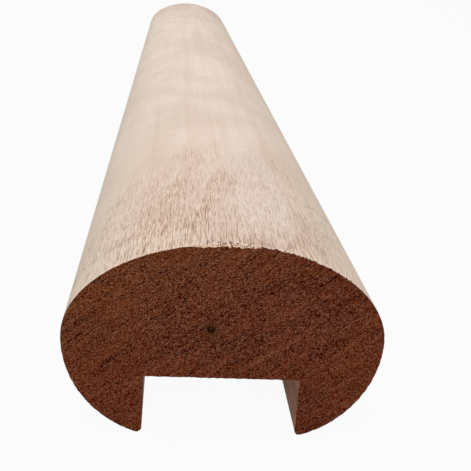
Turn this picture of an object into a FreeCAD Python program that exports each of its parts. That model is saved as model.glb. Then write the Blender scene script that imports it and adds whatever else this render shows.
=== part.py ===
"""Grooved oval stair handrail: one length of moulded hardwood.

The rail is a single piece of timber with the same section along its whole length: an elliptical
crown for the hand, round flanks that run down to two lips, and a square groove between the lips
that takes the heads of the balusters or a flat steel core bar.  Both ends are sawn square.

Millimetres.  +Y runs along the grain and +Z is up.  The lips rest on Z = 0, and the origin is
midway along the rail, under the middle of the groove.
"""

import os

import FreeCAD
import Part
from FreeCAD import Vector

# Driving dimensions
RAIL_LENGTH = 600.0
RAIL_WIDTH = 65.0
RAIL_HEIGHT = 42.0
CROWN_RISE = 20.5  # from the widest line of the section to the top of the crown
GROOVE_WIDTH = 32.0
GROOVE_DEPTH = 13.0  # from the foot of the lips to the groove's flat seat
LIP_RADIUS = 1.0  # rounding between a flank and the groove wall

# Sizes that follow
HALF_WIDTH = RAIL_WIDTH / 2
HALF_GROOVE = GROOVE_WIDTH / 2
WIDEST_LINE = RAIL_HEIGHT - CROWN_RISE
NEAR_END = -RAIL_LENGTH / 2


def flank_radius():
    """Radius of the arc that leaves the widest line upright and runs tangent into the lip."""
    across = HALF_WIDTH - HALF_GROOVE - LIP_RADIUS
    down = WIDEST_LINE - LIP_RADIUS
    return (across**2 + down**2 - LIP_RADIUS**2) / (2 * (across - LIP_RADIUS))


def on_section(x, z):
    """A point of the section, in the plane of the near end."""
    return Vector(x, NEAR_END, z)


def arc(centre, radius, start, end):
    """The shorter circular arc from start to end."""
    towards_middle = (start - centre).normalize() + (end - centre).normalize()
    return Part.Arc(start, centre + towards_middle.normalize() * radius, end).toShape()


def line(start, end):
    """A straight edge."""
    return Part.LineSegment(start, end).toShape()


def crown():
    """Half an ellipse, from the right flank over the top to the left flank."""
    centre = on_section(0, WIDEST_LINE)
    top = on_section(0, RAIL_HEIGHT)
    right = on_section(HALF_WIDTH, WIDEST_LINE)
    left = on_section(-HALF_WIDTH, WIDEST_LINE)
    if HALF_WIDTH >= CROWN_RISE:
        ellipse = Part.Ellipse(right, top, centre)
    else:
        ellipse = Part.Ellipse(top, left, centre)
    return Part.Arc(ellipse, ellipse.parameter(right), ellipse.parameter(left)).toShape()


def flank_and_lip(hand):
    """One flank, its lip and its groove wall; hand is 1 on the right and -1 on the left."""
    radius = flank_radius()
    flank_centre = on_section(hand * (HALF_WIDTH - radius), WIDEST_LINE)
    lip_centre = on_section(hand * (HALF_GROOVE + LIP_RADIUS), LIP_RADIUS)
    shoulder = on_section(hand * HALF_WIDTH, WIDEST_LINE)
    flank_foot = flank_centre + (lip_centre - flank_centre).normalize() * radius
    wall_foot = on_section(hand * HALF_GROOVE, LIP_RADIUS)
    wall_head = on_section(hand * HALF_GROOVE, GROOVE_DEPTH)
    return [
        arc(flank_centre, radius, shoulder, flank_foot),
        arc(lip_centre, LIP_RADIUS, flank_foot, wall_foot),
        line(wall_foot, wall_head),
    ]


def groove_seat():
    """The flat top of the groove, where a baluster's head or a core bar seats."""
    return line(on_section(HALF_GROOVE, GROOVE_DEPTH), on_section(-HALF_GROOVE, GROOVE_DEPTH))


def handrail():
    """The section, run along the grain for the rail's whole length."""
    edges = [crown(), *flank_and_lip(1), groove_seat(), *flank_and_lip(-1)]
    outline = Part.Wire(Part.sortEdges(edges)[0])
    return Part.Face(outline).extrude(Vector(0, RAIL_LENGTH, 0))


def main():
    os.makedirs("parts", exist_ok=True)
    rail = handrail()
    rail.exportStep("parts/handrail.step")
    box = rail.BoundBox
    print(f"handrail {box.XLength:.2f} x {box.YLength:.2f} x {box.ZLength:.2f} mm, valid {rail.isValid()}")
    print(f"section {rail.Volume / RAIL_LENGTH:.1f} mm2, flank radius {flank_radius():.2f} mm")


main()
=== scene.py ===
"""Looks of the stair handrail length: a moulded hardwood rail, sanded along its grain and sawn across it.

Metres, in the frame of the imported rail: +Y runs along the grain, +Z is up and the lips rest on Z = 0.
"""

import math

import bpy
import numpy as np
from mathutils import Matrix, Vector
from mathutils.geometry import delaunay_2d_cdt


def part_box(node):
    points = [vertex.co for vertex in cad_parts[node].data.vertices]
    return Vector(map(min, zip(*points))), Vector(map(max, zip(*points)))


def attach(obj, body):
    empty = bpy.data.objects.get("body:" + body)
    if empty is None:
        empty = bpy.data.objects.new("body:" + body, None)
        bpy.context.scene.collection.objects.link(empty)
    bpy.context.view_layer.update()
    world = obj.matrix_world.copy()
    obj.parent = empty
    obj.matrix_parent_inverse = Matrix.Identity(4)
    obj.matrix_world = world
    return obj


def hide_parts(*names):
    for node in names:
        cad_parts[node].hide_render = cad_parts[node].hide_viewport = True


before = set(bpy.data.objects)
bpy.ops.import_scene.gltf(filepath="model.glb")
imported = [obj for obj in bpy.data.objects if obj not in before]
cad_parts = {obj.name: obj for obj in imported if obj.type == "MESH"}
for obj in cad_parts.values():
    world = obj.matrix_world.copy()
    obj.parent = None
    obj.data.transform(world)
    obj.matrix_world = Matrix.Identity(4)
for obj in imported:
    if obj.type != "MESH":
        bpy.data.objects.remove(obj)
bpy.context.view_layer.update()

MM = 0.001

# The rail's section
RAIL_LOW, RAIL_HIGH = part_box("handrail")
HALF_LENGTH = (RAIL_HIGH.y - RAIL_LOW.y) / 2
HALF_WIDTH = (RAIL_HIGH.x - RAIL_LOW.x) / 2
RAIL_HEIGHT = RAIL_HIGH.z - RAIL_LOW.z
CROWN_RISE = 20.5 * MM
HALF_GROOVE = 16 * MM
GROOVE_DEPTH = 13 * MM
LIP_RADIUS = 1 * MM
WIDEST_LINE = RAIL_HEIGHT - CROWN_RISE

# Seeds of the random draws
RAIL_SEED = 32
FLAP_SEED = 7

# Spacing of the mesh
OUTLINE_STEP = 0.32 * MM
LIP_STEP = 0.2 * MM
END_STEP = 0.29 * MM
EDGE_GAP = 0.7 * END_STEP
RINGS_FROM_END = [3.4 * MM, 5 * MM, 8 * MM, 13 * MM]
RING_STEP = 14 * MM
SHARP_ANGLE = math.radians(45)
MERGE_GAP = 1e-8  # points of an end that lie nearer than this are one

# The flat bake map: the long faces lie below, and the two ends side by side above them
MAP_MARGIN = 0.004
MAP_LONG_FACES = 0.6
MAP_END_WIDTH = 0.48
MAP_NEAR_END = (0.25, 0.64)
MAP_FAR_END = (0.75, 0.64)

# The arris of the sawn ends: its usual widths and wear, where the saw tore the crown, and its bites
ARRIS_ON_END = 0.08 * MM
ARRIS_ON_SIDE = 0.16 * MM
ARRIS_WAVES = (0.9 * MM, 3 * MM)
ARRIS_WEAR = (0.5, 1.6)
TORN_FROM = -7.5 * MM
TORN_TO = 6 * MM
TORN_FADE = 3 * MM
TORN_FLAP = 0.6 * MM
FLAP_WAVES = (1.5 * MM, 5 * MM)
FLAP_MEAN = 0.7
FLAP_SWING = 0.4
FLAP_LIMITS = (0.3, 1)
FLAP_FRAY = (0.3, 1)
TORN_BITE = 0.9 * MM
TOOTH_BITE = 1.1 * MM
CLEAN_BITE = 0.15 * MM

# The sawn ends: fuzz, saw marks and pits
SAW_FUZZ = 0.045 * MM
FUZZ_WAVES = (0.7 * MM, 1.7 * MM)
SAW_RIPPLE = 0.015 * MM
SAW_PITCH = 2.3 * MM
SAW_CENTRE = np.array([-60 * MM, 150 * MM])
SAW_DRIFT = 2  # how far the saw marks wander, in radians of their ripple
DRIFT_WAVES = (9 * MM, 20 * MM)
TORN_PORES = 380
TORN_PORE_RADII = (0.22 * MM, 0.42 * MM)
TORN_PORE_DEPTHS = (0.06 * MM, 0.2 * MM)

# The pin hole of the near end: its rings of points, rim, wall and clearing are shares of its radius
PIN_HOLE = np.array([-2.9 * MM, 23.9 * MM])
PIN_HOLE_RADIUS = 0.55 * MM
PIN_HOLE_DEPTH = 0.9 * MM
PIN_HOLE_RINGS = [0.0, 0.4, 0.7, 0.9, 1.0, 1.12, 1.35, 1.7]
PIN_HOLE_RIM = 1.12
PIN_HOLE_WALL = 0.35
PIN_HOLE_CLEARING = 2

# Smudges by the near end, across and up
SMUDGE = np.array([-1.6 * MM, 22.3 * MM])
GREY_SMUDGE = np.array([7.4 * MM, 41.4 * MM])

# Growth rings, which show on the sawn ends as lines that rise to the right, and the steeper rows of pores
RING_SLOPE = math.radians(34)
ALONG_RING = (math.cos(RING_SLOPE), 0, math.sin(RING_SLOPE))
ACROSS_RING = (-math.sin(RING_SLOPE), 0, math.cos(RING_SLOPE))
ROW_SLOPE = math.radians(40)
PITH_DISTANCE = 220 * MM
# Growth bands: their width, and how long they last along a ring and along the grain
BAND_WIDTH = 1.7 * MM
BAND_ALONG_RING = 15 * MM
BAND_ALONG_GRAIN = 240 * MM
# Thin pale lines along the rings: the middle of each across and up, and its length
RING_LINES = [
    (10.8 * MM, 19.5 * MM, 16 * MM),
    (-14.2 * MM, 14.5 * MM, 14 * MM),
    (-3 * MM, 38.4 * MM, 6 * MM),
]
# The coarse heart of a sawn end: its middle, and how far it reaches across and up
HEART = (2 * MM, 0, 27 * MM)
HEART_ACROSS = 28 * MM
HEART_UP = 14 * MM

# Torn fibres along the crown's arris: from and to across the rail, how many, shortest and longest
PALE_FIBRES = (-7 * MM, 6 * MM, 40, 0.2 * MM, 0.5 * MM)
DARK_FIBRES = (-7 * MM, 6 * MM, 16, 0.12 * MM, 0.3 * MM)
DARK_TEETH = (7 * MM, 31 * MM, 30, 0.12 * MM, 0.28 * MM)
STRAY_FIBRES = (-30 * MM, -10 * MM, 10, 0.2 * MM, 0.4 * MM)
FIBRE_WIDTH = 0.17 * MM
FIBRE_ROOT = 0.12 * MM  # how deep a fibre is rooted in the wood
FIBRE_KNEE = 0.55  # share of a fibre's length below its bend
FIBRE_KNEE_WIDTH = 0.7  # its width there, as a share of its width at the root
FIBRE_ROLL = (0.3, 0.5, 0.8)  # a direction that sets how a fibre's three sides are turned
FIBRE_POINTS = 7  # points of a fibre's mesh
FIBRE_FACES = 7  # and its faces

# Broad streaks of the crown near the two ends: the middle of each across the rail, and half its width
CLEAR_STREAK = (8.5 * MM, 6.5 * MM)
TAN_STREAK = (-13 * MM, 9 * MM)

ENDLESS = 1000.0  # a length along the grain that never repeats
STREAK_SPREAD = 97  # pattern steps that keep the streaks of one fibre apart from another's
GRAIN_SLOPE = math.radians(-2.2)  # how far the fibres run off the rail's own line
RIBBON_SLOPE = math.radians(-14)  # how far the ribbons of pores do

# Lamps: place, aim, side and power
LAMPS = {
    "overhead": ((-0.26, -0.34, 1.5), (0, -0.15, 0), 1.2, 11),
    "front": ((0.1, -1.6, 0.6), (0, -0.3, 0), 1.0, 10),
    "behind": ((-0.2, 1.7, 0.6), (0, 0.3, 0), 1.0, 4),
}
FLOOR_REACH = 8.0

# The camera, with its lens and sensor in millimetres
CAMERA_PLACE = (-13.07 * MM, -446.55 * MM, 96.79 * MM)
CAMERA_RIGHT = math.radians(5.31)
CAMERA_DOWN = math.radians(19.72)
CAMERA_ROLL = math.radians(4.22)
CAMERA_LENS = 62.74
CAMERA_SENSOR = 36

SANDED, GROOVED, SAWN, TORN = range(4)


def even(points, step):
    """The same open line, with points evenly spaced at about the given step."""
    runs = np.linalg.norm(np.diff(points, axis=0), axis=1)
    along = np.concatenate([[0], np.cumsum(runs)])
    wanted = np.linspace(0, along[-1], max(2, round(along[-1] / step) + 1))
    return np.column_stack([np.interp(wanted, along, points[:, k]) for k in range(2)])


def arc(centre, radii, start, end, count=400):
    """Points on an upright ellipse from one angle to another."""
    angles = np.linspace(start, end, count)
    return np.asarray(centre) + np.column_stack([radii[0] * np.cos(angles), radii[1] * np.sin(angles)])


def right_side():
    """Flank, lip and groove wall of the right side, from the widest line down and into the groove."""
    across = HALF_WIDTH - HALF_GROOVE - LIP_RADIUS
    down = WIDEST_LINE - LIP_RADIUS
    radius = (across**2 + down**2 - LIP_RADIUS**2) / (2 * (across - LIP_RADIUS))
    flank_centre = np.array([HALF_WIDTH - radius, WIDEST_LINE])
    lip_centre = np.array([HALF_GROOVE + LIP_RADIUS, LIP_RADIUS])
    foot = math.atan2(*(lip_centre - flank_centre)[::-1])
    flank = arc(flank_centre, (radius, radius), 0, foot)
    lip = arc(lip_centre, (LIP_RADIUS, LIP_RADIUS), foot, -math.pi)
    wall = np.array([[HALF_GROOVE, LIP_RADIUS], [HALF_GROOVE, GROOVE_DEPTH]])
    return [
        (even(flank, OUTLINE_STEP), SANDED),
        (even(lip, LIP_STEP), SANDED),
        (even(wall, OUTLINE_STEP), GROOVED),
    ]


def section():
    """Points round the section, anticlockwise as seen from the near end, and the finish of each edge."""
    crown = arc((0, WIDEST_LINE), (HALF_WIDTH, CROWN_RISE), 0, math.pi)
    seat = np.array([[-HALF_GROOVE, GROOVE_DEPTH], [HALF_GROOVE, GROOVE_DEPTH]])
    right = right_side()
    runs = [(even(crown, OUTLINE_STEP), SANDED)]
    runs += [(run * [-1, 1], finish) for run, finish in right]
    runs += [(even(seat, OUTLINE_STEP), GROOVED)]
    runs += [(run[::-1], finish) for run, finish in reversed(right)]
    outline = np.concatenate([run[:-1] for run, finish in runs])
    finishes = np.concatenate([np.full(len(run) - 1, finish) for run, finish in runs])
    return outline, finishes


def outward(outline):
    """Unit normals that point out of the wood at each point of the section."""
    along = np.roll(outline, -1, axis=0) - np.roll(outline, 1, axis=0)
    normals = np.column_stack([along[:, 1], -along[:, 0]])
    return normals / np.linalg.norm(normals, axis=1, keepdims=True)


def unevenness(points, shortest, longest, rng, waves=70):
    """Smooth random height, about 1 at its crests, from waves between two lengths."""
    ways = rng.normal(size=(waves, points.shape[1]))
    ways /= np.linalg.norm(ways, axis=1, keepdims=True)
    ways *= 2 * np.pi / rng.uniform(shortest, longest, (waves, 1))
    phases = rng.uniform(0, 2 * np.pi, waves)
    return np.cos(points @ ways.T + phases).sum(axis=1) * math.sqrt(2 / waves) / 2


def inside(points, polygon):
    """Which points lie in a polygon."""
    found = np.zeros(len(points), bool)
    for start, end in zip(polygon, np.roll(polygon, -1, axis=0)):
        spans = (start[1] > points[:, 1]) != (end[1] > points[:, 1])
        rise = np.where(end[1] == start[1], 1, end[1] - start[1])
        crossing = start[0] + (points[:, 1] - start[1]) * (end[0] - start[0]) / rise
        found ^= spans & (points[:, 0] < crossing)
    return found


def nearest(points, others):
    """Distance from each point to the nearest of the others."""
    best = np.full(len(points), np.inf)
    for other in others:
        best = np.minimum(best, np.hypot(*(points - other).T))
    return best


def lattice(edge):
    """Points in rows of even triangles that fill the outline, kept a little off its edge."""
    low = edge.min(axis=0)
    high = edge.max(axis=0)
    row_step = END_STEP * math.sqrt(3) / 2
    rows = np.arange(low[1], high[1], row_step)
    columns = np.arange(low[0], high[0], END_STEP)
    x = columns[None, :] + np.where(np.arange(len(rows)) % 2, END_STEP / 2, 0)[:, None]
    points = np.column_stack([x.ravel(), np.repeat(rows, len(columns))])
    points = points[inside(points, edge)]
    return points[nearest(points, edge) > EDGE_GAP]


def pin_hole_points():
    """Rings of points that carry the pin hole's wall."""
    rings = []
    for share in PIN_HOLE_RINGS:
        count = 1 if share == 0 else 8 + round(14 * share)
        turn = np.arange(count) * 2 * np.pi / count
        rings.append(PIN_HOLE + share * PIN_HOLE_RADIUS * np.column_stack([np.cos(turn), np.sin(turn)]))
    return np.concatenate(rings)


def pin_hole_depth(points):
    """How deep the pin hole goes at each point."""
    share = np.hypot(*(points - PIN_HOLE).T) / PIN_HOLE_RADIUS
    wall = np.clip((PIN_HOLE_RIM - share) / PIN_HOLE_WALL, 0, 1)
    return PIN_HOLE_DEPTH * wall * wall * (3 - 2 * wall)


def torn_pore_depth(points, edge, rng):
    """Small pits where the saw pulled fibres out, as a depth at each point."""
    spots = rng.uniform(edge.min(axis=0), edge.max(axis=0), (TORN_PORES, 2))
    radii = rng.uniform(*TORN_PORE_RADII, TORN_PORES)
    depths = rng.uniform(*TORN_PORE_DEPTHS, TORN_PORES)
    deep = np.zeros(len(points))
    for spot, radius, depth in zip(spots, radii, depths):
        away = np.hypot(*(points - spot).T) / radius
        deep = np.maximum(deep, depth * np.exp(-(away**2)))
    return deep


def saw_relief(points, edge, rng):
    """How far the sawn face lies behind its plane at each point."""
    fuzz = SAW_FUZZ * (1 + unevenness(points, *FUZZ_WAVES, rng))
    kerf = np.hypot(*(points - SAW_CENTRE).T) * 2 * np.pi / SAW_PITCH
    ripple = SAW_RIPPLE * (1 + np.cos(kerf + SAW_DRIFT * unevenness(points, *DRIFT_WAVES, rng)))
    return fuzz + ripple + torn_pore_depth(points, edge, rng)


def arris(outline, rng):
    """The edge that the saw left: its widths on the end and on the side, and where it is torn."""
    across, up = outline.T
    count = len(outline)
    crown = up > WIDEST_LINE
    from_left = np.clip((across - TORN_FROM) / TORN_FADE, 0, 1)
    from_right = np.clip((TORN_TO - across) / TORN_FADE, 0, 1)
    torn = crown * from_left * from_right
    toothed = crown & (across >= TORN_TO)
    wear = np.clip(1 + unevenness(outline, *ARRIS_WAVES, rng), *ARRIS_WEAR)
    longest_bite = np.where(torn > 0, TORN_BITE, np.where(toothed, TOOTH_BITE, CLEAN_BITE))
    ragged = unevenness(outline, *FLAP_WAVES, np.random.default_rng(FLAP_SEED))
    flap = TORN_FLAP * np.clip(FLAP_MEAN + FLAP_SWING * ragged, *FLAP_LIMITS)
    on_end = ARRIS_ON_END * wear + flap * torn * rng.uniform(*FLAP_FRAY, count)
    on_side = ARRIS_ON_SIDE * wear + longest_bite * rng.random(count) ** 3
    return on_end, on_side, torn > 0


def sawn_end(outline, on_end, pin_hole, rng):
    """A sawn face: its points with the edge first, its triangles, and its depth at each point."""
    edge = outline - outward(outline) * on_end[:, None]
    filling = lattice(edge)
    if pin_hole:
        filling = filling[np.hypot(*(filling - PIN_HOLE).T) > PIN_HOLE_CLEARING * PIN_HOLE_RADIUS]
        filling = np.concatenate([filling, pin_hole_points()])
    points = np.concatenate([edge, filling])
    ring = list(range(len(edge)))
    met = delaunay_2d_cdt([Vector(p) for p in points], [], [ring], 1, MERGE_GAP)
    source = np.array([origins[0] for origins in met[3]])
    triangles = source[np.array(met[2])]
    depth = saw_relief(points, edge, rng)
    if pin_hole:
        depth += pin_hole_depth(points)
    return points, triangles, depth


def ring_places():
    """Distances along the rail of the whole rings between the two broken arrises."""
    inner = HALF_LENGTH - RINGS_FROM_END[-1]
    middle = np.linspace(-inner, inner, round(2 * inner / RING_STEP) + 1)
    near = [-HALF_LENGTH + gap for gap in RINGS_FROM_END[:-1]]
    far = [HALF_LENGTH - gap for gap in reversed(RINGS_FROM_END[:-1])]
    return np.concatenate([near, middle, far])


def in_space(points, y):
    """Section points set at their place along the rail."""
    return np.column_stack([points[:, 0], np.broadcast_to(y, len(points)), points[:, 1]])


def rail_points(outline, near, near_side, far, far_side):
    """Every point of the rail: rings from the near edge to the far one, then what fills the two ends."""
    count = len(outline)
    near_points, near_depth = near[0], near[2]
    far_points, far_depth = far[0], far[2]
    rings = [in_space(near_points[:count], -HALF_LENGTH + near_depth[:count])]
    rings += [in_space(outline, -HALF_LENGTH + near_side)]
    rings += [in_space(outline, y) for y in ring_places()]
    rings += [in_space(outline, HALF_LENGTH - far_side)]
    rings += [in_space(far_points[:count], HALF_LENGTH - far_depth[:count])]
    near_filling = in_space(near_points[count:], -HALF_LENGTH + near_depth[count:])
    far_filling = in_space(far_points[count:], HALF_LENGTH - far_depth[count:])
    return np.concatenate(rings), near_filling, far_filling


def side_faces(count, rings):
    """Four-sided faces between neighbouring rings, facing out of the wood."""
    here = np.arange(count)
    after = np.roll(here, -1)
    first = np.column_stack([here, here + count, after + count, after])
    return (first[None] + (np.arange(rings - 1) * count)[:, None, None]).reshape(-1, 4)


def end_faces(triangles, count, first_edge, first_filling):
    """Triangles of an end, numbered as the whole rail's points are."""
    return np.where(triangles < count, triangles + first_edge, triangles - count + first_filling)


def bake_map(outline, points, sides, near_faces, far_faces):
    """Places on a flat square for each face corner: the long faces below and the two ends above."""
    count = len(outline)
    runs = np.linalg.norm(np.roll(outline, -1, axis=0) - outline, axis=1)
    around = np.concatenate([[0], np.cumsum(runs)]) / runs.sum()
    column = sides[:, :1] % count + np.array([0, 0, 1, 1])
    along = (points[sides, 1] + HALF_LENGTH) / (2 * HALF_LENGTH)
    map_along = MAP_MARGIN + (1 - 2 * MAP_MARGIN) * along
    map_around = MAP_MARGIN + MAP_LONG_FACES * around[column]
    long_grain = np.stack([map_along, map_around], axis=-1)
    flat = points[:, [0, 2]] * MAP_END_WIDTH / (2 * HALF_WIDTH)
    near = flat[near_faces] + MAP_NEAR_END
    far = flat[far_faces] + MAP_FAR_END
    return np.concatenate([part.reshape(-1, 2) for part in (long_grain, near, far)])


def mesh_from(name, points, faces, finishes):
    """A smooth mesh with a finish number for each face."""
    mesh = bpy.data.meshes.new(name)
    mesh.from_pydata(points.tolist(), [], faces)
    mesh.polygons.foreach_set("material_index", np.asarray(finishes, np.int32))
    mesh.polygons.foreach_set("use_smooth", np.ones(len(faces), bool))
    return mesh


def piece_from(name, mesh, materials):
    """A shown piece that rides with the rail's one body and carries the timber materials."""
    for material in materials:
        mesh.materials.append(material)
    piece = bpy.data.objects.new(name, mesh)
    bpy.context.scene.collection.objects.link(piece)
    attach(piece, "root")
    return piece


def rail_mesh(outline, finishes, rng):
    """The whole rail as one closed skin."""
    count = len(outline)
    near_end, near_side, near_torn = arris(outline, rng)
    far_end, far_side, far_torn = arris(outline, rng)
    near = sawn_end(outline, near_end, True, rng)
    far = sawn_end(outline, far_end, False, rng)
    ringed, near_filling, far_filling = rail_points(outline, near, near_side, far, far_side)
    points = np.concatenate([ringed, near_filling, far_filling])
    rings = len(ringed) // count
    sides = side_faces(count, rings)
    near_faces = end_faces(near[1], count, 0, len(ringed))
    far_faces = end_faces(far[1], count, (rings - 1) * count, len(ringed) + len(near_filling))[:, ::-1]
    near_arris = np.where(near_torn, TORN, SAWN)
    far_arris = np.where(far_torn, TORN, SAWN)
    side_finishes = np.concatenate([near_arris, np.tile(finishes, rings - 3), far_arris])
    end_finishes = np.full(len(near_faces) + len(far_faces), SAWN)
    faces = sides.tolist() + near_faces.tolist() + far_faces.tolist()
    mesh = mesh_from("handrail_skin", points, faces, np.concatenate([side_finishes, end_finishes]))
    mesh.set_sharp_from_angle(angle=SHARP_ANGLE)
    places = bake_map(outline, points, sides, near_faces, far_faces)
    mesh.uv_layers.new(name="OFBake").uv.foreach_set("vector", places.astype(np.float32).ravel())
    return mesh


def sliver(root, way, bend, length, width):
    """Points of a torn fibre: two three-cornered rings and a tip."""
    way = way / np.linalg.norm(way)
    side = np.cross(way, FIBRE_ROLL)
    side /= np.linalg.norm(side)
    other = np.cross(way, side)
    turn = np.arange(3) * 2 * np.pi / 3
    corners = np.cos(turn)[:, None] * side + np.sin(turn)[:, None] * other
    knee = root + way * length * FIBRE_KNEE
    tip = knee + (way + bend) * length * (1 - FIBRE_KNEE)
    low_ring = root + corners * width / 2
    knee_ring = knee + corners * width * FIBRE_KNEE_WIDTH / 2
    return np.concatenate([low_ring, knee_ring, tip[None]])


def sliver_faces(first):
    """Faces that close a torn fibre whose points start at a number."""
    lower = [(first + k, first + (k + 1) % 3, first + 3 + (k + 1) % 3, first + 3 + k) for k in range(3)]
    upper = [(first + 3 + k, first + 3 + (k + 1) % 3, first + 6) for k in range(3)]
    return [(first + 2, first + 1, first), *lower, *upper]


def fibres_at(zone, end, rng):
    """Torn fibres rooted along a stretch of the crown's arris, at the near end (-1) or the far one (1)."""
    start, stop, count, shortest, longest = zone
    grown = []
    for across in rng.uniform(start, stop, count):
        rise = math.sqrt(1 - (across / HALF_WIDTH) ** 2)
        up = np.array([across * CROWN_RISE / HALF_WIDTH, 0, rise * HALF_WIDTH])
        up /= np.linalg.norm(up)
        along = np.array([up[2], 0, -up[0]])
        on_arris = np.array([across, end * (HALF_LENGTH - FIBRE_ROOT), WIDEST_LINE + CROWN_RISE * rise])
        root = on_arris - up * FIBRE_ROOT
        way = up * rng.uniform(0.4, 1) + along * rng.uniform(-0.6, 0.6)
        way[1] += end * rng.uniform(-0.6, 0.5)
        bend = along * rng.uniform(-0.8, 0.8) - up * rng.uniform(0, 0.9)
        length = rng.uniform(shortest, longest)
        grown.append(sliver(root, way, bend, length, FIBRE_WIDTH * rng.uniform(0.6, 1.2)))
    return grown


def fibre_mesh(rng):
    """Every torn fibre, at both ends."""
    zones = [(PALE_FIBRES, TORN), (DARK_FIBRES, SAWN), (DARK_TEETH, SAWN), (STRAY_FIBRES, TORN)]
    slivers = []
    finishes = []
    for zone, finish in zones:
        for end in (-1, 1):
            grown = fibres_at(zone, end, rng)
            slivers += grown
            finishes += [finish] * len(grown)
    faces = [face for k in range(len(slivers)) for face in sliver_faces(FIBRE_POINTS * k)]
    return mesh_from("torn_fibre_skin", np.concatenate(slivers), faces, np.repeat(finishes, FIBRE_FACES))


def srgb(red, green, blue):
    """A colour as it shows on screen, from 0 to 255, as the linear colour that a shader takes."""
    shares = [channel / 255 for channel in (red, green, blue)]
    return (*[s / 12.92 if s <= 0.04045 else ((s + 0.055) / 1.055) ** 2.4 for s in shares], 1)


# Colours of the sanded long grain
SANDED_SHADE = srgb(224, 204, 187)
SANDED_PALE = srgb(237, 219, 204)
SANDED_BLUSH = srgb(226, 202, 187)
SANDED_BAND = srgb(212, 184, 164)
SANDED_STRIPE = srgb(206, 176, 156)
DAMP_PINK = srgb(230, 203, 186)
DAMP_RIBBON = srgb(216, 180, 154)
STRAND_TAN = srgb(204, 172, 150)
EDGE_YELLOW = srgb(229, 213, 192)
CLEAR_CREAM = srgb(243, 226, 214)
RIM_CREAM = srgb(239, 221, 200)
SMUDGE_GREY = srgb(172, 160, 148)
FIBRE_BROWN = srgb(156, 113, 84)
FIBRE_CREAM = srgb(249, 233, 220)
# painted shadow: the dark brown of the specks behind the torn fibres along the crown's arris
ARRIS_SHADOW_BROWN = srgb(108, 66, 40)
PORE_BROWN = srgb(126, 84, 56)

# Colours of the sawn end grain
END_RED = srgb(111, 47, 14)
END_DEEP_RED = srgb(102, 39, 8)
END_SAPWOOD = srgb(122, 66, 28)
END_BAND = srgb(82, 33, 16)
END_ROW_PALE = srgb(128, 67, 34)
END_ROW_DARK = srgb(70, 22, 5)
END_RING_LINE = srgb(150, 94, 66)
END_HOLLOW = srgb(36, 0, 0)
END_FIBRE = srgb(160, 117, 96)
END_TORN_FIBRE = srgb(152, 104, 78)
END_FINE_PORE = srgb(38, 0, 0)
END_PORE = srgb(32, 0, 0)
END_SMUDGE = srgb(58, 30, 18)
PIN_HOLE_BROWN = srgb(84, 52, 28)
# painted shade: black that fills the pin hole, fading out as a dark mark just past its rim
PIN_HOLE_PAINTED_SHADE = srgb(26, 5, 0)

# Colours of the torn fibre
TORN_TAN = srgb(206, 164, 130)
TORN_CREAM = srgb(246, 222, 200)
# partly dark wood, partly painted shade in the gaps between the torn fibres
TORN_CHIP_AND_GAP_SHADE = srgb(104, 62, 38)

# Colours of the machined groove
GROOVE_BROWN = srgb(164, 112, 85)
GROOVE_TAN = srgb(194, 140, 110)
GROOVE_PALE_STRIPE = srgb(214, 172, 146)
GROOVE_DARK_STRIPE = srgb(110, 70, 50)
GROOVE_FIBRE = srgb(126, 80, 58)
GROOVE_PORE = srgb(96, 62, 48)

# Floor and surround
FLOOR_GREY = (0.6, 0.6, 0.6, 1)
WHITE = (1, 1, 1, 1)
WARM_WHITE = (1, 0.99, 0.98, 1)
FLOOR_WHITENESS = 0.94
SURROUND_LIGHT = 0.35
SURROUND_WHITENESS = 0.975


class Wire:
    """A node's output, with arithmetic that adds Math nodes."""

    def __init__(self, finish, socket):
        self.finish = finish
        self.socket = socket

    def maths(self, operation, first, second):
        """A Math node on two values or wires."""
        return self.finish.node("ShaderNodeMath", {"operation": operation}, {0: first, 1: second})

    def __add__(self, other):
        return self.maths("ADD", self, other)

    def __sub__(self, other):
        return self.maths("SUBTRACT", self, other)

    def __rsub__(self, other):
        return self.maths("SUBTRACT", other, self)

    def __mul__(self, other):
        return self.maths("MULTIPLY", self, other)

    __radd__ = __add__
    __rmul__ = __mul__


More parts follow.
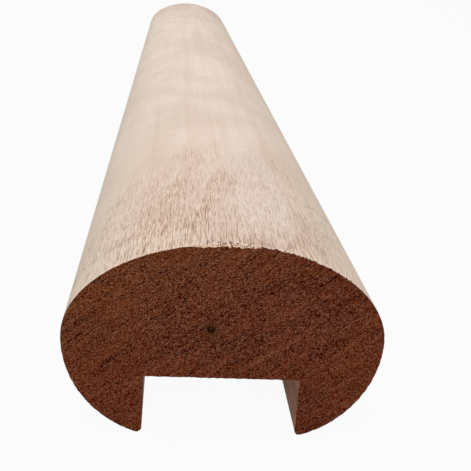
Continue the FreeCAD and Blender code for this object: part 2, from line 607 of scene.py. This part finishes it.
class Finish:
    """A tree of shader nodes under construction."""

    def __init__(self, tree):
        self.tree = tree
        self.tree.nodes.clear()

    def node(self, kind, settings, sockets, output=0):
        """Adds a node: its settings first, then the values or wires of its sockets."""
        node = self.tree.nodes.new(kind)
        for name, setting in settings.items():
            setattr(node, name, setting)
        for name, value in sockets.items():
            if isinstance(value, Wire):
                self.tree.links.new(value.socket, node.inputs[name])
            else:
                node.inputs[name].default_value = value
        return Wire(self, node.outputs[output]) if node.outputs else None

    def vectors(self, operation, first, second, output="Vector"):
        """Vector arithmetic on two places or directions."""
        return self.node("ShaderNodeVectorMath", {"operation": operation}, {0: first, 1: second}, output)

    def size_of(self, value):
        """A value without its sign."""
        return self.node("ShaderNodeMath", {"operation": "ABSOLUTE"}, {0: value})

    def spot(self):
        """The place on the rail, in metres."""
        return self.node("ShaderNodeTexCoord", {}, {}, "Object")

    def measured(self, place, way):
        """How far a place lies along a direction, in metres."""
        return self.vectors("DOT_PRODUCT", place, way, "Value")

    def across_rail(self):
        """How far to the right of the rail's middle, in metres."""
        return self.measured(self.spot(), (1, 0, 0))

    def along_rail(self):
        """How far along the rail from its middle, in metres."""
        return self.measured(self.spot(), (0, 1, 0))

    def height(self):
        """How far above the lips' feet, in metres."""
        return self.measured(self.spot(), (0, 0, 1))

    def from_middle(self):
        """How far from the rail's middle towards either end, in metres."""
        return self.size_of(self.along_rail())

    def place(self, across, along, slant=0.0, shift=0.0):
        """Coordinates counted in pattern steps: one size across the grain and another along it."""
        turned = {"Vector": self.spot(), "Location": (shift, shift, shift), "Rotation": (0, 0, slant)}
        return self.node("ShaderNodeMapping", {"vector_type": "TEXTURE"},
                         {**turned, "Scale": (across, along, across)})

    def row_place(self, along_row, across_row, shift=0.0):
        """Places on a sawn end counted in pattern steps: one size along the rows of pores and one across."""
        turned = {"Vector": self.spot(), "Location": (shift, 0, shift), "Rotation": (0, -ROW_SLOPE, 0)}
        return self.node("ShaderNodeMapping", {"vector_type": "TEXTURE"},
                         {**turned, "Scale": (along_row, 2 * MM, across_row)})

    def noise(self, place, detail=2.0, roughness=0.5, per_step=1.0):
        """Cloudy unevenness from 0 to 1, with a number of clouds per pattern step."""
        return self.node("ShaderNodeTexNoise", {},
                         {"Vector": place, "Scale": per_step, "Detail": detail, "Roughness": roughness})

    def cells(self, place):
        """Distance from the middle of the nearest of many scattered cells, in pattern steps."""
        return self.node("ShaderNodeTexVoronoi", {}, {"Vector": place, "Scale": 1})

    def patches(self, place, draw="Red"):
        """A random value from 0 to 1 for each of many small cells; each draw is another one."""
        colour = self.node("ShaderNodeTexVoronoi", {}, {"Vector": place, "Scale": 1}, "Color")
        return self.node("ShaderNodeSeparateColor", {}, {"Color": colour}, draw)

    def streaks(self, across, along, shift=0.0):
        """Straight streaks with the fibres, from 0 to 1: one size across them and another along them."""
        fibre = self.patches(self.place(across, ENDLESS, GRAIN_SLOPE, shift))
        steps = self.along_rail() * (1 / along)
        spot = self.node("ShaderNodeCombineXYZ", {}, {"X": fibre * STREAK_SPREAD, "Y": steps, "Z": shift})
        return self.noise(spot, 3, 0.6)

    def specks(self, place, size, amount):
        """Small ragged spots in some of many scattered cells: their size in steps, and the share of cells."""
        chosen = self.between(self.patches(place) + amount, 0.98, 1.02)
        own_size = size * (0.5 + self.patches(place, "Green"))
        ragged = 0.5 * (self.noise(place, per_step=3) - 0.5)
        return self.between(self.cells(place) + ragged - own_size, 0.08, -0.08) * chosen

    def between(self, value, low, high):
        """0 below low, 1 above high and a smooth step between them; or falling, where low is above high."""
        return self.node("ShaderNodeMapRange", {"interpolation_type": "SMOOTHSTEP"},
                         {"Value": value, "From Min": low, "From Max": high})

    def mix(self, share, first, second):
        """The second colour over the first, by a share."""
        return self.node("ShaderNodeMix", {"data_type": "RGBA"}, {0: share, 6: first, 7: second}, 2)

    def layered(self, ground, layers):
        """A ground with each tint laid over it in turn, by its share."""
        for share, tint in layers:
            ground = self.mix(share, ground, tint)
        return ground

    def bump(self, height, depth):
        """A surface raised by a height from 0 to 1, of the given depth."""
        return self.node("ShaderNodeBump", {}, {"Height": height, "Distance": depth})

    def show(self, shader, kind="Material"):
        """Ends the tree in its output."""
        self.node(f"ShaderNodeOutput{kind}", {}, {"Surface": shader})


def new_finish(name):
    """A new material and its empty tree."""
    material = bpy.data.materials.new(name)
    material.use_nodes = True
    return material, Finish(material.node_tree)


def timber_surface(finish, colour, roughness, normal, sheen):
    """Bare wood: a rough, weakly shining surface."""
    bare = {"Base Color": colour, "Roughness": roughness, "Normal": normal, "Specular IOR Level": sheen}
    finish.show(finish.node("ShaderNodeBsdfPrincipled", {}, bare))


def ring_distance(finish):
    """Distance from a middle growth ring, in metres, a little wandering."""
    pith = Vector(ACROSS_RING) * -PITH_DISTANCE
    pith.z += WIDEST_LINE
    level = finish.vectors("MULTIPLY", finish.spot(), (1, 0, 1))
    radius = finish.vectors("DISTANCE", level, pith, "Value")
    wander = finish.noise(finish.place(14 * MM, 120 * MM), 2)
    return radius - PITH_DISTANCE + wander * (3 * MM)


def growth_bands(finish):
    """Darker and lighter bands that follow the growth rings, right through the wood."""
    steps = {
        "X": ring_distance(finish) * (1 / BAND_WIDTH),
        "Y": finish.measured(finish.spot(), ALONG_RING) * (1 / BAND_ALONG_RING),
        "Z": finish.along_rail() * (1 / BAND_ALONG_GRAIN),
    }
    return finish.noise(finish.node("ShaderNodeCombineXYZ", {}, steps), 3)


def stain_and_shade_spot(finish, middle, reach, behind=0.0):
    """A ragged round spot about a point of the section, on the near end or a little behind it: for stains on
    the wood, and for the painted shade that fills the pin hole.
    """
    place = (middle[0], -HALF_LENGTH + behind, middle[1])
    away = finish.vectors("DISTANCE", finish.spot(), place, "Value")
    ragged = finish.noise(finish.place(0.6 * MM, 0.6 * MM), 2)
    return finish.between(away + (ragged - 0.5) * (0.6 * reach), reach, 0.5 * reach)


def broad_streak(finish, middle, half_width):
    """1 in a broad streak along the grain, falling to 0 past its ragged sides."""
    ragged = finish.noise(finish.place(5 * MM, 30 * MM, shift=half_width), 2)
    off = finish.size_of(finish.across_rail() - middle) + (ragged - 0.5) * (2 * half_width)
    return finish.between(off, 1.4 * half_width, 0.5 * half_width)


def clear_streak(finish):
    """1 in the paler streak beside the crown's middle, which stops short of the two ends."""
    short_of_end = finish.between(finish.from_middle(), HALF_LENGTH - 4 * MM, HALF_LENGTH - 20 * MM)
    return broad_streak(finish, *CLEAR_STREAK) * short_of_end


def raised_grain(finish, clear):
    """Where damp has darkened the two ends, and where it opened their pores."""
    patchy = finish.noise(finish.place(22 * MM, 50 * MM, shift=0.7), 2)
    upper = finish.between(finish.measured(finish.spot(), (-0.2, 0, 1)), 29 * MM, 41 * MM)
    on_top = 0.3 + 0.7 * upper
    reached = finish.from_middle() + 0.7 * finish.across_rail()
    darkened = finish.between(reached - patchy * (70 * MM), 135 * MM, 235 * MM) * on_top
    opened = finish.between(reached - patchy * (40 * MM), 172 * MM, 266 * MM) * (0.4 + 0.6 * on_top)
    return darkened * (1 - 0.95 * clear), opened * (1 - 0.25 * clear)


def clean_rim(finish):
    """1 on the clean rim at the saw cut, which is narrow in the middle and widest on the left."""
    across = finish.across_rail()
    on_left = finish.between(across, -3 * MM, -11 * MM)
    on_right = finish.between(across, 6 * MM, 14 * MM)
    wider = on_left * (11 * MM) + on_right * (3.5 * MM)
    return finish.between(finish.from_middle() + wider, HALF_LENGTH - 3 * MM, HALF_LENGTH + 4 * MM)


def arris_shadow_specks(finish):
    """Tiny dark specks of painted shadow along the arris, behind the torn fibres: thickest where the saw tore
    the crown and fewer to the right of it.
    """
    across = finish.across_rail()
    brink = finish.between(finish.from_middle(), HALF_LENGTH - 3 * MM, HALF_LENGTH - 1.2 * MM)
    torn = finish.between(across, TORN_FROM, TORN_FROM + TORN_FADE)
    thick = 0.1 + 0.55 * finish.between(across, TORN_TO, TORN_TO - TORN_FADE)
    return finish.specks(finish.place(0.5 * MM, 1.2 * MM, shift=0.9), 0.42, brink * torn * thick)


def crown_edges(finish):
    """1 along the two edges of the crown, where the wood is yellower, falling to 0 on its top."""
    return finish.between(finish.size_of(finish.across_rail()), 13 * MM, 27 * MM)


def lower_flank(finish):
    """1 on the lower flanks, which show the most figure, falling to 0 at the widest line."""
    return finish.between(finish.height(), WIDEST_LINE + 1.5 * MM, WIDEST_LINE - 7 * MM)


def sanded_ground(finish, darkened, gathered, flank):
    """Pale pinkish ground with clouds, growth bands and stripes, warmer where damp has darkened it."""
    cloud = finish.noise(finish.place(26 * MM, 34 * MM), 3)
    blush = finish.noise(finish.place(9 * MM, 50 * MM, shift=0.3), 2)
    stripe = finish.noise(finish.place(1.5 * MM, 90 * MM, shift=0.5), 3)
    ground = finish.mix(finish.between(cloud, 0.35, 0.65), SANDED_SHADE, SANDED_PALE)
    return finish.layered(ground, [
        (finish.between(blush, 0.45, 0.7) * 0.5, SANDED_BLUSH),
        (finish.between(growth_bands(finish), 0.45, 0.65) * (0.24 + 0.3 * flank), SANDED_BAND),
        (finish.between(stripe, 0.5, 0.7) * (0.2 + 0.4 * flank), SANDED_STRIPE),
        (darkened * 0.55, DAMP_PINK),
        (darkened * gathered * 0.45, DAMP_RIBBON),
    ])


def sanded_long_grain():
    """Pale pinkish wood along the grain, with fine dark pores that gather in slanting ribbons."""
    material, finish = new_finish("sanded_long_grain")
    clear = clear_streak(finish)
    darkened, opened = raised_grain(finish, clear)
    rim = clean_rim(finish)
    flank = lower_flank(finish)
    fibre = finish.streaks(0.11 * MM, 6.5 * MM)
    strand = finish.streaks(0.24 * MM, 13 * MM, 0.2)
    pore = finish.streaks(0.13 * MM, 8 * MM, 0.4)
    ribbon = finish.noise(finish.place(6 * MM, 40 * MM, RIBBON_SLOPE), 3)
    tan = broad_streak(finish, *TAN_STREAK) * (1 - rim)
    gathered = finish.between(ribbon + 0.1 * tan, 0.42, 0.66)
    crowded = 0.03 + opened * (0.2 + 0.45 * gathered) * (1 - 0.35 * rim)
    open_pores = finish.between(pore, 0.55, 0.64) * crowded
    streaked = opened * (0.6 + 0.3 * gathered) * (1 - 0.12 * rim) + 0.3 * flank
    colour = finish.layered(sanded_ground(finish, darkened, gathered, flank), [
        (finish.between(strand, 0.42, 0.66) * (0.05 + 0.45 * opened), STRAND_TAN),
        (crown_edges(finish) * 0.4, EDGE_YELLOW),
        (clear * opened * 0.55, CLEAR_CREAM),
        (rim * 0.45, RIM_CREAM),
        (stain_and_shade_spot(finish, GREY_SMUDGE, 1.6 * MM, 2 * MM) * 0.6, SMUDGE_GREY),
        (finish.between(fibre, 0.52, 0.36) * (0.01 + 1.2 * streaked), FIBRE_BROWN),
        (finish.between(fibre, 0.51, 0.65) * (0.01 + 0.75 * streaked), FIBRE_CREAM),
        # painted shadow: dark specks behind the torn fibres along the arris
        (arris_shadow_specks(finish) * 0.95, ARRIS_SHADOW_BROWN),
        (open_pores * 0.9, PORE_BROWN),
    ])
    height = 0.3 * fibre - 0.7 * open_pores
    timber_surface(finish, colour, 0.58 + 0.14 * fibre, finish.bump(height, 0.015 * MM), 0.3)
    return material


def ring_line(finish, across, up, length):
    """One thin line along the growth rings, fading out at both ends."""
    wander = finish.noise(finish.place(4 * MM, 40 * MM, shift=up), 1)
    away = finish.vectors("SUBTRACT", finish.spot(), (across, 0, up))
    off = finish.measured(away, ACROSS_RING) + (wander - 0.5) * (0.8 * MM)
    along = finish.measured(away, ALONG_RING)
    thin = finish.between(finish.size_of(off), 0.38 * MM, 0.1 * MM)
    return thin * finish.between(finish.size_of(along), 0.56 * length, 0.3 * length)


def heart(finish):
    """1 in the middle of a sawn end, where the grain is coarsest, falling to 0 towards its edges."""
    ragged = finish.noise(finish.place(9 * MM, 40 * MM), 2)
    off = finish.vectors("SUBTRACT", finish.spot(), HEART)
    scaled = finish.vectors("MULTIPLY", off, (1 / HEART_ACROSS, 0, 1 / HEART_UP))
    away = finish.node("ShaderNodeVectorMath", {"operation": "LENGTH"}, {0: scaled}, "Value")
    return finish.between(away + (ragged - 0.5) * 0.8, 1.15, 0.45)


def sapwood(finish):
    """1 in the paler wood at the upper left of a sawn end, falling to 0 by its middle."""
    ragged = finish.noise(finish.place(7 * MM, 40 * MM, shift=0.4), 2)
    upper_left = finish.measured(finish.spot(), (-0.5, 0, 0.85))
    return finish.between(upper_left + ragged * (8 * MM), 24 * MM, 43 * MM)


def end_ground(finish, bands, lines, coarse):
    """Dark red-brown ground with sapwood, growth bands, rows along the rings and thin pale ring lines."""
    cloud = finish.noise(finish.place(15 * MM, 40 * MM), 3)
    ground = finish.mix(finish.between(cloud, 0.3, 0.7), END_RED, END_DEEP_RED)
    layers = [
        (sapwood(finish) * 0.6, END_SAPWOOD),
        (finish.between(bands, 0.4, 0.65) * 0.3, END_BAND),
        (finish.between(lines, 0.5, 0.7) * (0.7 - 0.15 * coarse), END_ROW_PALE),
        (finish.between(lines, 0.5, 0.3) * (0.6 - 0.15 * coarse), END_ROW_DARK),
    ]
    layers += [(ring_line(finish, *line) * 0.45, END_RING_LINE) for line in RING_LINES]
    return finish.layered(ground, layers)


def sawn_end_grain():
    """Dark red-brown end grain: open pores, torn fibre ends, growth bands and thin pale ring lines."""
    material, finish = new_finish("sawn_end_grain")
    bands = growth_bands(finish)
    lines = finish.noise(finish.row_place(12 * MM, 0.5 * MM, 0.8), 3)
    coarse = heart(finish)
    crowded = finish.between(bands, 0.4, 0.6) * coarse
    row = finish.between(lines, 0.5, 0.36)
    fibre = finish.patches(finish.row_place(0.18 * MM, 0.11 * MM))
    pores = finish.specks(finish.row_place(0.6 * MM, 0.31 * MM), 0.34, 0.03 + 0.16 * crowded + 0.22 * row)
    fine_place = finish.row_place(0.4 * MM, 0.2 * MM, 0.3)
    fine_pores = finish.specks(fine_place, 0.44, 0.1 + 0.2 * crowded + 0.36 * row)
    torn_ends = finish.specks(finish.row_place(0.5 * MM, 0.35 * MM, 0.6), 0.3, 0.06 + 0.12 * coarse)
    colour = finish.layered(end_ground(finish, bands, lines, coarse), [
        (finish.between(fibre, 0.58, 0.02) * (0.88 + 0.12 * coarse), END_HOLLOW),
        (finish.between(fibre, 0.5, 1.0) * (0.45 + 0.12 * coarse), END_FIBRE),
        (torn_ends * 0.5, END_TORN_FIBRE),
        (fine_pores, END_FINE_PORE),
        (pores, END_PORE),
        (stain_and_shade_spot(finish, SMUDGE, 2.2 * MM) * 0.2, END_SMUDGE),
        (stain_and_shade_spot(finish, PIN_HOLE, 2.2 * MM) * 0.4, PIN_HOLE_BROWN),
        # painted shade: black that fills the pin hole's recess, fading out as a dark mark just past its rim
        (stain_and_shade_spot(finish, PIN_HOLE, 1.05 * MM), PIN_HOLE_PAINTED_SHADE),
    ])
    height = 0.4 * fibre + 0.5 * torn_ends - pores - 0.5 * fine_pores
    timber_surface(finish, colour, 0.85 + 0.1 * fibre, finish.bump(height, 0.1 * MM), 0.02)
    return material


def torn_fibre():
    """Fresh fibres pulled up by the saw: cream and tan, with dark specks between them, partly dark wood and
    partly painted shade in the gaps between the fibres.
    """
    material, finish = new_finish("torn_fibre")
    shade = finish.patches(finish.place(0.17 * MM, 0.3 * MM))
    specks_and_gap_shade = finish.specks(finish.place(0.42 * MM, 0.6 * MM, shift=0.2), 0.46, 0.42)
    ground = finish.mix(finish.between(shade, 0.1, 0.9), TORN_TAN, TORN_CREAM)
    # dark specks: partly dark wood, partly painted shade in the gaps between the torn fibres
    colour = finish.mix(specks_and_gap_shade * 0.85, ground, TORN_CHIP_AND_GAP_SHADE)
    timber_surface(finish, colour, 0.6 + 0.2 * shade, finish.bump(shade - specks_and_gap_shade, 0.03 * MM), 0.3)
    return material


def machined_groove():
    """Greyish brown groove faces with fine cutter marks across the grain."""
    material, finish = new_finish("machined_groove")
    cloud = finish.noise(finish.place(6 * MM, 30 * MM), 3)
    fibre = finish.noise(finish.place(0.25 * MM, 7 * MM), 3, 0.6)
    pore = finish.cells(finish.place(0.6 * MM, 9 * MM))
    cutter = finish.noise(finish.place(40 * MM, 0.8 * MM), 1)
    stripe = finish.noise(finish.place(1.1 * MM, 120 * MM, shift=0.6), 2)
    lines = finish.between(pore, 0.34, 0.16)
    ground = finish.mix(finish.between(cloud, 0.35, 0.65), GROOVE_BROWN, GROOVE_TAN)
    colour = finish.layered(ground, [
        (finish.between(stripe, 0.5, 0.66) * 0.6, GROOVE_PALE_STRIPE),
        (finish.between(stripe, 0.48, 0.34) * 0.7, GROOVE_DARK_STRIPE),
        (finish.between(fibre, 0.3, 0.7) * 0.5, GROOVE_FIBRE),
        (lines * 0.6, GROOVE_PORE),
    ])
    height = 0.4 * cutter + 0.3 * fibre - 0.6 * lines
    timber_surface(finish, colour, 0.66 + 0.14 * fibre, finish.bump(height, 0.05 * MM), 0.25)
    return material


def seen_directly(finish):
    """1 for what the camera sees straight, mirrored or through glass, and 0 for light falling on things."""
    rays = ("Is Camera Ray", "Is Glossy Ray", "Is Transmission Ray")
    camera, glossy, through = [finish.node("ShaderNodeLightPath", {}, {}, ray) for ray in rays]
    return finish.node("ShaderNodeMath", {"operation": "MAXIMUM"}, {0: camera, 1: glossy}) + through


def floor_paint():
    """Pale paint that keeps a soft shadow and looks white, and that is clear from below."""
    material, finish = new_finish("white_floor")
    paint = finish.node("ShaderNodeBsdfDiffuse", {}, {"Color": FLOOR_GREY})
    white = finish.node("ShaderNodeEmission", {}, {"Color": WHITE, "Strength": 1})
    clear = finish.node("ShaderNodeBsdfTransparent", {}, {})
    below = finish.node("ShaderNodeNewGeometry", {}, {}, "Backfacing")
    share = seen_directly(finish) * FLOOR_WHITENESS
    top = finish.node("ShaderNodeMixShader", {}, {0: share, 1: paint, 2: white})
    finish.show(finish.node("ShaderNodeMixShader", {}, {0: below, 1: top, 2: clear}))
    return material


def white_floor():
    """One large square under the rail."""
    mesh = bpy.data.meshes.new("floor")
    corners = [(FLOOR_REACH * x, FLOOR_REACH * y, 0) for x, y in ((-1, -1), (1, -1), (1, 1), (-1, 1))]
    mesh.from_pydata(corners, [], [(0, 1, 2, 3)])
    mesh.materials.append(floor_paint())
    floor = bpy.data.objects.new("floor", mesh)
    bpy.context.scene.collection.objects.link(floor)


def studio_air():
    """A white surround to look at, and an even soft light from it."""
    world = bpy.data.worlds.new("studio_air")
    bpy.context.scene.world = world
    world.use_nodes = True
    finish = Finish(world.node_tree)
    light = finish.node("ShaderNodeBackground", {}, {"Color": WARM_WHITE, "Strength": SURROUND_LIGHT})
    white = finish.node("ShaderNodeBackground", {}, {"Color": WHITE, "Strength": SURROUND_WHITENESS})
    air = finish.node("ShaderNodeMixShader", {}, {0: seen_directly(finish), 1: light, 2: white})
    finish.show(air, "World")


def soft_lamp(name, place, aim, side, power):
    """A square area lamp pointed at a spot."""
    lamp = bpy.data.lights.new(name, "AREA")
    lamp.size = side
    lamp.energy = power
    held = bpy.data.objects.new(name, lamp)
    held.location = place
    held.rotation_euler = (Vector(aim) - Vector(place)).to_track_quat("-Z", "Y").to_euler()
    bpy.context.scene.collection.objects.link(held)


def camera():
    """The photograph's camera: low over the near end, looking along the rail."""
    lens = bpy.data.cameras.new("camera")
    lens.sensor_width = CAMERA_SENSOR
    lens.lens = CAMERA_LENS
    lens.clip_start = 10 * MM
    held = bpy.data.objects.new("camera", lens)
    heading = Matrix.Rotation(-CAMERA_RIGHT, 4, "Z")
    tilt = Matrix.Rotation(math.radians(90) - CAMERA_DOWN, 4, "X")
    roll = Matrix.Rotation(CAMERA_ROLL, 4, "Z")
    held.matrix_world = Matrix.Translation(CAMERA_PLACE) @ heading @ tilt @ roll
    bpy.context.scene.collection.objects.link(held)
    bpy.context.scene.camera = held


def stage():
    """Floor, surround, lamps and camera."""
    bpy.context.scene.view_settings.view_transform = "Standard"
    white_floor()
    studio_air()
    for name, settings in LAMPS.items():
        soft_lamp(name, *settings)
    camera()


def main():
    """The rail, its torn fibres and the stage."""
    rng = np.random.default_rng(RAIL_SEED)
    outline, finishes = section()
    woods = [sanded_long_grain(), machined_groove(), sawn_end_grain(), torn_fibre()]
    rail = piece_from("handrail_timber", rail_mesh(outline, finishes, rng), woods)
    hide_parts("handrail")
    piece_from("torn_fibres", fibre_mesh(rng), woods)
    stage()


main()
